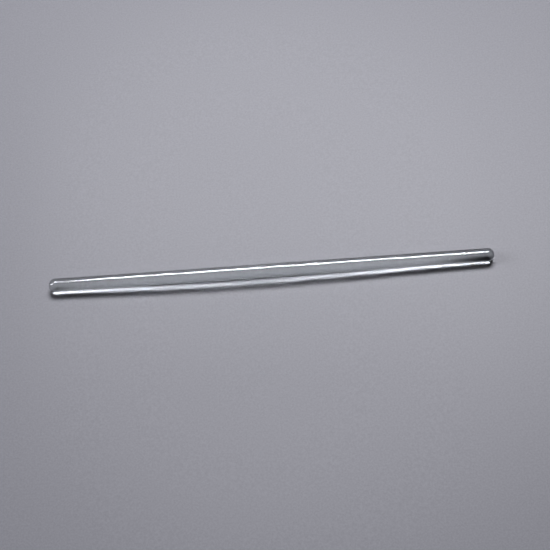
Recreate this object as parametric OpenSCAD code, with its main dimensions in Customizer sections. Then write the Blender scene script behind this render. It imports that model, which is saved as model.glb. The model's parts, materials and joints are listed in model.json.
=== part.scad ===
// Glass stirring rod: one length of solid drawn glass, each end melted round in a flame.
// The rod lies along X, with the origin on its axis at mid-length. Sizes are in millimetres.

/* [Shaft] */
// Length of the rod over both rounded ends
rod_length = 200; // [60:5:400]
// Diameter of the straight shaft
shaft_d = 6; // [3:0.5:12]

/* [Left end] */
// How far the melted bead stands out past the shaft, on the radius
left_swell = 0.10; // [0.02:0.02:0.4]
// Radius of the hollow curve between the bead and the shaft
left_hollow_r = 4; // [1:0.5:10]

/* [Right end] */
// How far the melted bead stands out past the shaft, on the radius
right_swell = 0.06; // [0.02:0.02:0.4]
// Radius of the hollow curve between the bead and the shaft
right_hollow_r = 4; // [1:0.5:10]

/* [Hidden] */
$fn = 96;
shaft_r = shaft_d / 2;
half_length = rod_length / 2;
glass_colour = [0.82, 0.88, 0.90, 0.35];

// Radius of the bead, a ball a little fatter than the shaft
function bead_r(swell) = shaft_r + swell;

// Place of the bead's centre along the axis, counted from the middle of the rod
function bead_place(swell) = half_length - bead_r(swell);

// The neck's hollow curve touches both the bead and the shaft. Its centre lies this far behind
// the bead's centre, and that is where the straight shaft begins.
function neck_length(swell, hollow_r) =
    sqrt(pow(bead_r(swell) + hollow_r, 2) - pow(shaft_r + hollow_r, 2));

// Half outline of one end: X is the distance from the axis, and Y runs along the axis to the tip
module end_outline(swell, hollow_r) {
    r = bead_r(swell);
    neck = neck_length(swell, hollow_r);
    hollow_centre = [shaft_r + hollow_r, -neck];
    translate([0, bead_place(swell)]) {
        // The melted bead
        intersection() {
            circle(r = r);
            translate([0, -r]) square([r, 2 * r]);
        }
        // The neck fills the corner between the two centres and the axis, less the hollow
        difference() {
            polygon([[0, 0], [0, -neck], hollow_centre]);
            translate(hollow_centre) circle(r = hollow_r);
        }
    }
}

// Half outline of the shaft, from one bead's centre to the other's
module shaft_outline() {
    left = bead_place(left_swell);
    right = bead_place(right_swell);
    translate([0, -left]) square([shaft_r, left + right]);
}

// The rod is one solid of revolution about its own axis
module stirring_rod() {
    color(glass_colour)
        rotate([0, 90, 0])
            rotate_extrude() {
                shaft_outline();
                end_outline(right_swell, right_hollow_r);
                mirror([0, 1]) end_outline(left_swell, left_hollow_r);
            }
}

stirring_rod();
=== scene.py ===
# %% [markdown]
# # A glass stirring rod
# A stirring rod is a length of solid borosilicate glass. The factory draws it to one diameter, cuts it,
# and holds each cut end in a flame until it melts into a smooth round bead. There is no other piece.
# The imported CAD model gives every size. This script lathes the same rod finely enough for glass, because
# glass bends light at its surface, and a coarse surface would break each reflection into facets.

# %% Load the frame
import json
import math

import bpy
import numpy as np
from mathutils import Matrix, Vector


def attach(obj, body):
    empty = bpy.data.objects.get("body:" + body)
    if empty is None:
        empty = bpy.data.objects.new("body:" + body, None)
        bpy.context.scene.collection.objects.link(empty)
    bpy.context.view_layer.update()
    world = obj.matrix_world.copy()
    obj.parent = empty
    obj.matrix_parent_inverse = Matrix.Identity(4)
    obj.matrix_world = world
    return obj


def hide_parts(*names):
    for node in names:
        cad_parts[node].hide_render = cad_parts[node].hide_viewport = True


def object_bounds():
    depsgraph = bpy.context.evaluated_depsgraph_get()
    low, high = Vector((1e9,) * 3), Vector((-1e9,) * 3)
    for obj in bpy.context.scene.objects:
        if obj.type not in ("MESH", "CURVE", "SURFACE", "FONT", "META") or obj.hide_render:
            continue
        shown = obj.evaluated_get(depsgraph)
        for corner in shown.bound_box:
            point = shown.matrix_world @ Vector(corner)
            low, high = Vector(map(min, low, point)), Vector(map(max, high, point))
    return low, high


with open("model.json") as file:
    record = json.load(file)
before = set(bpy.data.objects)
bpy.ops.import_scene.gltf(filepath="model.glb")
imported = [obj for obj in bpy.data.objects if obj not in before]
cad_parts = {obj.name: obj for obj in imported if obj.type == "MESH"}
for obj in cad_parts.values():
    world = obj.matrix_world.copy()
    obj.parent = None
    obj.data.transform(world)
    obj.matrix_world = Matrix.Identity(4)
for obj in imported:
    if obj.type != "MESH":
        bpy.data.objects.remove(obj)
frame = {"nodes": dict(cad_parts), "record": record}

CAD_LOW, CAD_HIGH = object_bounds()
MM = 0.001
ROD_NODE = "stirring_rod"
print("CAD box in mm:", [round(v / MM, 3) for v in (*CAD_LOW, *CAD_HIGH)])

# %% [markdown]
# ## Sizes taken from the frame
# The shaft's radius is stated by the mount. The beads are measured on the CAD mesh, because they are a
# little fatter than the shaft and differ from one end to the other.

# %% Measure the frame
SHAFT = next(m for m in frame["record"]["mounts"] if m["name"] == "shaft")
SHAFT_R = SHAFT["dims"]["r_mm"] * MM
AXIS_TOLERANCE = 0.0005 * MM


def measure_end(side):
    """Bead radius, tip and start of the neck on one side of the middle: -1 is left and 1 is right."""
    half = [v.co for v in frame["nodes"][ROD_NODE].data.vertices if v.co.x * side > 0]
    tip = max(co.x * side for co in half)
    bead_r = max(math.hypot(co.y, co.z) for co in half)
    straight = [co.x * side for co in half if abs(math.hypot(co.y, co.z) - SHAFT_R) < AXIS_TOLERANCE]
    return {"tip": tip, "bead_r": bead_r, "neck": max(straight)}


ENDS = {side: measure_end(side) for side in (-1, 1)}
for side, end in ENDS.items():
    print("end", side, {name: round(size / MM, 3) for name, size in end.items()})

# %% [markdown]
# ## The outline of the rod
# From the tip, the outline is an arc of the bead, then a hollow arc where the swollen glass runs back
# into the shaft, then the shaft. The hollow's radius follows from the other sizes, because the hollow
# touches both the bead and the shaft.
#
# The shaft is kept perfectly straight and round, as in the CAD model. Rings every 1.5 mm keep its facets
# from being slivers as long as the rod.

# %% Work out the outline
BEAD_STEPS = 28
HOLLOW_STEPS = 8
SHAFT_STEP = 1.5 * MM


def end_outline(end):
    """Points (x, radius) from the tip back to the start of the straight shaft, on the right side."""
    bead_r, neck = end["bead_r"], end["neck"]
    centre = end["tip"] - bead_r
    back = centre - neck
    hollow_r = (SHAFT_R**2 + back**2 - bead_r**2) / (2 * (bead_r - SHAFT_R))
    turn = math.atan2(back, SHAFT_R + hollow_r)
    points = []
    for step in range(BEAD_STEPS + 1):
        angle = (math.pi / 2 + turn) * step / BEAD_STEPS
        points.append((centre + bead_r * math.cos(angle), bead_r * math.sin(angle)))
    for step in range(1, HOLLOW_STEPS + 1):
        angle = turn * (1 - step / HOLLOW_STEPS)
        points.append((neck + hollow_r * math.sin(angle), SHAFT_R + hollow_r * (1 - math.cos(angle))))
    return points


right = end_outline(ENDS[1])
left = [(-x, r) for x, r in reversed(end_outline(ENDS[-1]))]
right_x, left_x = right[-1][0], left[0][0]
rings = round((right_x - left_x) / SHAFT_STEP)
stations = np.linspace(right_x, left_x, rings + 1)[1:-1]
OUTLINE = right + [(float(x), SHAFT_R) for x in stations] + left
print("outline points:", len(OUTLINE), "shaft radius in mm:", round(SHAFT_R / MM, 3))

# %% [markdown]
# ## Lathe the rod
# Surface tension pulls hot glass round, both while the rod is drawn and when a flame melts its ends. So
# every section is a circle, and the rod is made as a lathe would make it: one vertex is extruded from
# point to point along the outline, and the outline is spun a full turn about the axis.

# %% Lathe
TURN_STEPS = 160
WELD = 0.0001 * MM


def start_vertex(name, place):
    """A new object in edit mode with a single vertex, made by collapsing a plane."""
    bpy.ops.object.select_all(action="DESELECT")
    bpy.ops.mesh.primitive_plane_add(size=MM, location=(0, 0, 0))
    made = bpy.context.object
    made.name = made.data.name = name
    bpy.ops.object.mode_set(mode="EDIT")
    bpy.ops.mesh.merge(type="CENTER")
    bpy.ops.transform.translate(value=place)
    return made


def lathe(name, outline):
    """Spins an outline of (x, radius) points about X and closes it at both tips."""
    places = [Vector((x, 0, r)) for x, r in outline]
    made = start_vertex(name, places[0])
    for before, after in zip(places, places[1:]):
        bpy.ops.mesh.extrude_region_move(TRANSFORM_OT_translate={"value": after - before})
    bpy.ops.mesh.select_all(action="SELECT")
    bpy.ops.mesh.spin(steps=TURN_STEPS, angle=math.tau, center=(0, 0, 0), axis=(1, 0, 0))
    bpy.ops.mesh.select_all(action="SELECT")
    bpy.ops.mesh.remove_doubles(threshold=WELD)
    bpy.ops.mesh.normals_make_consistent(inside=False)
    bpy.ops.object.mode_set(mode="OBJECT")
    bpy.ops.object.shade_smooth()
    return made


rod = lathe("glass_rod", OUTLINE)
print("glass_rod:", len(rod.data.vertices), "vertices,", len(rod.data.polygons), "faces")

# %% Place it in the frame
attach(rod, "root")
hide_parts(ROD_NODE)

# %% [markdown]
# ## Colours and nodes
# Colours are written as the eye reads them, in sRGB, and one function turns them into the linear values
# that the renderer adds up. Pattern sizes are real sizes in metres: object coordinates are stretched so
# that one unit of noise is as long as the mark it draws.


# %% Helpers
def srgb(code):
    """Linear colour with alpha from a hex code such as '#d8dde0'."""
    parts = [int(code[i : i + 2], 16) / 255 for i in (1, 3, 5)]
    return (*[c / 12.92 if c <= 0.04045 else ((c + 0.055) / 1.055) ** 2.4 for c in parts], 1.0)


def add(tree, kind, links=None, **settings):
    """Adds a node: settings name its properties or its input sockets, and links feed input sockets."""
    node = tree.nodes.new(kind)
    for name, value in settings.items():
        if hasattr(node, name):
            setattr(node, name, value)
        else:
            node.inputs[name.replace("_", " ")].default_value = value
    for name, source in (links or {}).items():
        tree.links.new(source, node.inputs[name])
    return node


def material(name):
    """A new node material with only its output."""
    made = bpy.data.materials.new(name)
    made.use_nodes = True
    made.node_tree.nodes.clear()
    return made, made.node_tree, made.node_tree.nodes.new("ShaderNodeOutputMaterial")


def marks(tree, length, width, detail=2.0):
    """Noise whose marks are length long on X and width across, from 0 to 1."""
    place = add(tree, "ShaderNodeTexCoord").outputs["Object"]
    scale = (1 / length, 1 / width, 1 / width)
    sized = add(tree, "ShaderNodeMapping", {"Vector": place}, Scale=scale).outputs["Vector"]
    return add(tree, "ShaderNodeTexNoise", {"Vector": sized}, Scale=1.0, Detail=detail).outputs["Fac"]


def ramp(tree, value, low, high, first=0.0, last=1.0):
    """Turns low..high into first..last, and holds it outside."""
    span = {"From_Min": low, "From_Max": high, "To_Min": first, "To_Max": last}
    return add(tree, "ShaderNodeMapRange", {"Value": value}, **span).outputs["Result"]


MIX_FIRST, MIX_LAST, MIX_RESULT = 6, 7, 2  # the mix node's colour sockets, whose names repeat


def blend(tree, value, first, last):
    """A colour between two colours."""
    node = add(tree, "ShaderNodeMix", {"Factor": value}, data_type="RGBA")
    node.inputs[MIX_FIRST].default_value, node.inputs[MIX_LAST].default_value = first, last
    return node.outputs[MIX_RESULT]


def relief(tree, height, depth, under=None):
    """A normal raised by a height pattern of the given depth, on top of another normal."""
    links = {"Height": height} if under is None else {"Height": height, "Normal": under}
    return add(tree, "ShaderNodeBump", links, Strength=1.0, Distance=depth).outputs["Normal"]


# %% [markdown]
# ## The glass
# Borosilicate glass has no colour of its own, so the eye sees only what it bends and mirrors. Light that
# meets the rod straight on goes through and is gathered into a bright line on the sheet. Near the edges it
# is bent furthest, towards the dark room, so on a pale sheet the edges look dark. Its index of refraction
# is 1.474, and a thick run of it looks very faintly green, so the base colour is only just off white.
#
# Three real traces keep it from being perfect:
# - draw lines run along the rod, left as it was drawn; real ones are under 0.1 mm apart, too fine to
#   show, so they are drawn 0.35 mm apart
# - the skin rolls slowly where it cooled unevenly
# - fingers leave thin smears that dull the gloss in patches
#
# The relief of the first two is a few thousandths of a millimetre. Seen whole, the rod hardly shows it.

# %% Glass
GLASS_IOR = 1.474
GLASS_CLEAR, GLASS_FAINT = srgb("#fdfefe"), srgb("#f2f8f6")
DRAW_LINE_LENGTH, DRAW_LINE_GAP, DRAW_LINE_DEPTH = 40 * MM, 0.35 * MM, 0.0010 * MM
ROLL_LENGTH, ROLL_WIDTH, ROLL_DEPTH = 16 * MM, 4.5 * MM, 0.008 * MM
SMEAR_LENGTH, SMEAR_WIDTH = 9 * MM, 3 * MM
SMEAR_FROM, SMEAR_FULL = 0.58, 0.76
ROLL_DETAIL, DRAW_LINE_DETAIL, SMEAR_DETAIL = 1.0, 3.0, 4.0
CLEAN_ROUGHNESS, SMEAR_ROUGHNESS = 0.01, 0.16


def drawn_glass():
    """Clear glass with draw lines, a slow roll and finger smears."""
    made, tree, out = material("borosilicate_glass_drawn_and_flame_polished")
    roll = marks(tree, ROLL_LENGTH, ROLL_WIDTH, ROLL_DETAIL)
    lines = marks(tree, DRAW_LINE_LENGTH, DRAW_LINE_GAP, DRAW_LINE_DETAIL)
    smear = marks(tree, SMEAR_LENGTH, SMEAR_WIDTH, SMEAR_DETAIL)
    skin = relief(tree, lines, DRAW_LINE_DEPTH, relief(tree, roll, ROLL_DEPTH))
    gloss = ramp(tree, smear, SMEAR_FROM, SMEAR_FULL, CLEAN_ROUGHNESS, SMEAR_ROUGHNESS)
    links = {"Base Color": blend(tree, roll, GLASS_CLEAR, GLASS_FAINT), "Roughness": gloss, "Normal": skin}
    body = add(tree, "ShaderNodeBsdfPrincipled", links, IOR=GLASS_IOR, Transmission_Weight=1.0)
    tree.links.new(body.outputs["BSDF"], out.inputs["Surface"])
    return made


rod.data.materials.append(drawn_glass())
print("glass:", rod.data.materials[0].name)

# %% [markdown]
# ## The sheet under the rod
# A plain pale sheet, part of the stage and not of the rod. It sags a little between the two points where
# the beads rest. The gap under the middle sets where the gathered light lands, so the bright line bows
# away from the rod there and meets it again at both ends.

# %% Sheet shape
SHEET_SPAN = 0.6
SHEET_REACH = 20
RIM_FROM = 0.499 * SHEET_SPAN
SHEET_STEPS = (600, 200)
SAG = 1.9 * MM
LOWEST_X, LEFT_RUN, RIGHT_RUN = -15 * MM, 100 * MM, 120 * MM
FLAT_HALF, SIDE_RUN = 50 * MM, 120 * MM

bpy.ops.object.select_all(action="DESELECT")
bpy.ops.mesh.primitive_grid_add(x_subdivisions=SHEET_STEPS[0], y_subdivisions=SHEET_STEPS[1], size=SHEET_SPAN)
floor = bpy.context.object
floor.name = floor.data.name = "floor"
co = np.empty(len(floor.data.vertices) * 3)
floor.data.vertices.foreach_get("co", co)
co = co.reshape(-1, 3)
x, y = co[:, 0].copy(), co[:, 1].copy()
along = (x - LOWEST_X) / np.where(x < LOWEST_X, LEFT_RUN, RIGHT_RUN)
across = np.clip((np.abs(y) - FLAT_HALF) / SIDE_RUN, 0, 1)
dip = np.clip(1 - along**2, 0, 1) ** 2 * np.cos(across * math.pi / 2) ** 2
co[:, 2] = CAD_LOW.z - SAG * dip
rim = np.maximum(np.abs(x), np.abs(y)) > RIM_FROM
co[rim, :2] *= SHEET_REACH
floor.data.vertices.foreach_set("co", co.ravel())
floor.data.update()
bpy.ops.object.shade_smooth()
print("deepest gap under the rod in mm:", round(SAG * float(dip.max()) / MM, 2))

# %% [markdown]
# ## The sheet's finish
# Matt paper with a fine tooth. A real tooth is about 0.1 mm across, too fine to show, so it is drawn
# 0.8 mm across. A small share of mirror-like light, spread wide, gives the soft glow of a sheet lit from
# behind. Far from the rod the sheet fades into the colour of the room, as a studio sweep does, so no
# horizon line shows.

# %% Sheet finish
SHEET_PALE, SHEET_DARK = srgb("#565659"), srgb("#515154")
SHEET_SHEEN, SHEET_ROUGHNESS = 0.011, 0.42
TOOTH_SIZE, TOOTH_DEPTH = 0.8 * MM, 0.010 * MM
TOOTH_LOW, TOOTH_HIGH = 0.3, 0.7
ROOM_COLOUR, ROOM_SEEN, ROOM_LIGHT = srgb("#e9e9ee"), 0.34, 0.05
FADE_FROM, FADE_TO = 0.22, 0.80


def pale_sheet():
    """Matt sheet with a fine tooth and a wide soft sheen, fading into the room."""
    made, tree, out = material("pale_grey_matt_paper_fine_tooth")
    tooth = marks(tree, TOOTH_SIZE, TOOTH_SIZE)
    normal = relief(tree, tooth, TOOTH_DEPTH)
    colour = blend(tree, ramp(tree, tooth, TOOTH_LOW, TOOTH_HIGH), SHEET_DARK, SHEET_PALE)
    matt = add(tree, "ShaderNodeBsdfDiffuse", {"Color": colour, "Normal": normal})
    sheen = add(tree, "ShaderNodeBsdfGlossy", {"Normal": normal}, Roughness=SHEET_ROUGHNESS)
    sheet = add(tree, "ShaderNodeMixShader", Fac=SHEET_SHEEN)
    tree.links.new(matt.outputs["BSDF"], sheet.inputs[1])
    tree.links.new(sheen.outputs["BSDF"], sheet.inputs[2])
    place = add(tree, "ShaderNodeTexCoord").outputs["Object"]
    far = add(tree, "ShaderNodeVectorMath", {"Vector": place}, operation="LENGTH").outputs["Value"]
    haze = add(tree, "ShaderNodeEmission", Color=ROOM_COLOUR, Strength=ROOM_SEEN)
    whole = add(tree, "ShaderNodeMixShader", {"Fac": ramp(tree, far, FADE_FROM, FADE_TO)})
    tree.links.new(sheet.outputs["Shader"], whole.inputs[1])
    tree.links.new(haze.outputs["Emission"], whole.inputs[2])
    tree.links.new(whole.outputs["Shader"], out.inputs["Surface"])
    return made


floor.data.materials.append(pale_sheet())
print("sheet:", floor.data.materials[0].name)

# %% [markdown]
# ## The camera
# It looks down at the rod from the front at 62 degrees with a long lens, so the rod's two ends look the
# same size. A small roll lays the rod a little uphill to the right.

# %% Camera
VIEW_ELEVATION, VIEW_ROLL = math.radians(62), math.radians(4.05)
LENS, SENSOR = 85, 36
FRAME_SHARE = 0.811
AIM_RIGHT, AIM_UP = 1.52 * MM, -2.15 * MM

distance = (CAD_HIGH.x - CAD_LOW.x) / FRAME_SHARE * LENS / SENSOR
back = Vector((0, -math.cos(VIEW_ELEVATION), math.sin(VIEW_ELEVATION)))
lens = bpy.data.cameras.new("camera")
lens.lens, lens.sensor_width = LENS, SENSOR
camera = bpy.data.objects.new("camera", lens)
bpy.context.scene.collection.objects.link(camera)
facing = (-back).to_track_quat("-Z", "Y").to_matrix().to_4x4() @ Matrix.Rotation(-VIEW_ROLL, 4, "Z")
aim = facing.to_3x3() @ Vector((AIM_RIGHT, AIM_UP, 0))
camera.matrix_world = Matrix.Translation(aim + back * distance) @ facing
bpy.context.scene.camera = camera
print("camera distance in m:", round(distance, 3))

# %% [markdown]
# ## The lights
# Glass is lit by the shapes around it. A soft box behind and above the rod draws the long highlight, and
# the same light passes through the rod and is gathered into the bright line on the sheet. A wider, weaker
# box around it softens the shadow. A window on the left faces the left bead. A low, faint wall stands
# behind. The room itself is nearly dark, so the beads keep their dark rims.
#
# The small bright marks on the beads are light that has bounced inside the glass. They change from one
# random seed to the next, so no light here is placed to draw one of them.


# %% Lights
def softbox(name, azimuth, elevation, away, width, height, power, colour):
    """An area light that faces the rod. Azimuth 0 is straight behind the rod, and 90 is to its right."""
    a, e = math.radians(azimuth), math.radians(elevation)
    place = Vector((math.sin(a) * math.cos(e), math.cos(a) * math.cos(e), math.sin(e))) * away
    lamp = bpy.data.lights.new(name, "AREA")
    lamp.shape = "RECTANGLE"
    lamp.size, lamp.size_y = width, height
    lamp.energy = power
    lamp.color = srgb(colour)[:3]
    made = bpy.data.objects.new(name, lamp)
    bpy.context.scene.collection.objects.link(made)
    made.visible_camera = False
    made.matrix_world = Matrix.Translation(place) @ (-place).to_track_quat("-Z", "Y").to_matrix().to_4x4()
    return made


# Each row: name, azimuth and elevation in degrees, distance, width and height in metres, watts, colour.
LIGHTS = (
    ("key_softbox", 13, 58, 1.5, 1.0, 0.36, 44, "#f8f8fc"),
    ("key_halo", 0, 60, 1.6, 1.1, 0.75, 17, "#f8f8fc"),
    ("left_window", -86, 30, 1.5, 0.50, 0.7, 20, "#f8f8fc"),
    ("back_wall", -25, 16, 1.4, 2.2, 0.75, 2.4, "#ffffff"),
)
for row in LIGHTS:
    print("light:", softbox(*row).name, "watts:", row[-2])

# %% [markdown]
# ## The room
# A studio room is dark round the set and pale behind it. One world does both: the camera sees it pale,
# and the glass and the sheet see it nearly dark. A room that is bright from every side tends to wash the
# dark rims out of glass.

# %% Room
world = bpy.data.worlds.new("studio")
bpy.context.scene.world = world
world.use_nodes = True
tree = world.node_tree
seen = add(tree, "ShaderNodeLightPath").outputs["Is Camera Ray"]
room = tree.nodes["Background"]
room.inputs["Color"].default_value = ROOM_COLOUR
tree.links.new(ramp(tree, seen, 0, 1, ROOM_LIGHT, ROOM_SEEN), room.inputs["Strength"])
print("room strength as light and as seen:", ROOM_LIGHT, ROOM_SEEN)

# %% [markdown]
# ## Picture settings
# Light that has passed through glass must stay sharp to draw its bright line, so the renderer is told not
# to blur it. The plain view transform with a strong contrast look keeps glass crisp.

# %% Picture
scene = bpy.context.scene
scene.cycles.blur_glossy = 0.0
scene.view_settings.view_transform = "Standard"
scene.view_settings.look = "High Contrast"
print("picture:", scene.view_settings.view_transform, scene.view_settings.look)
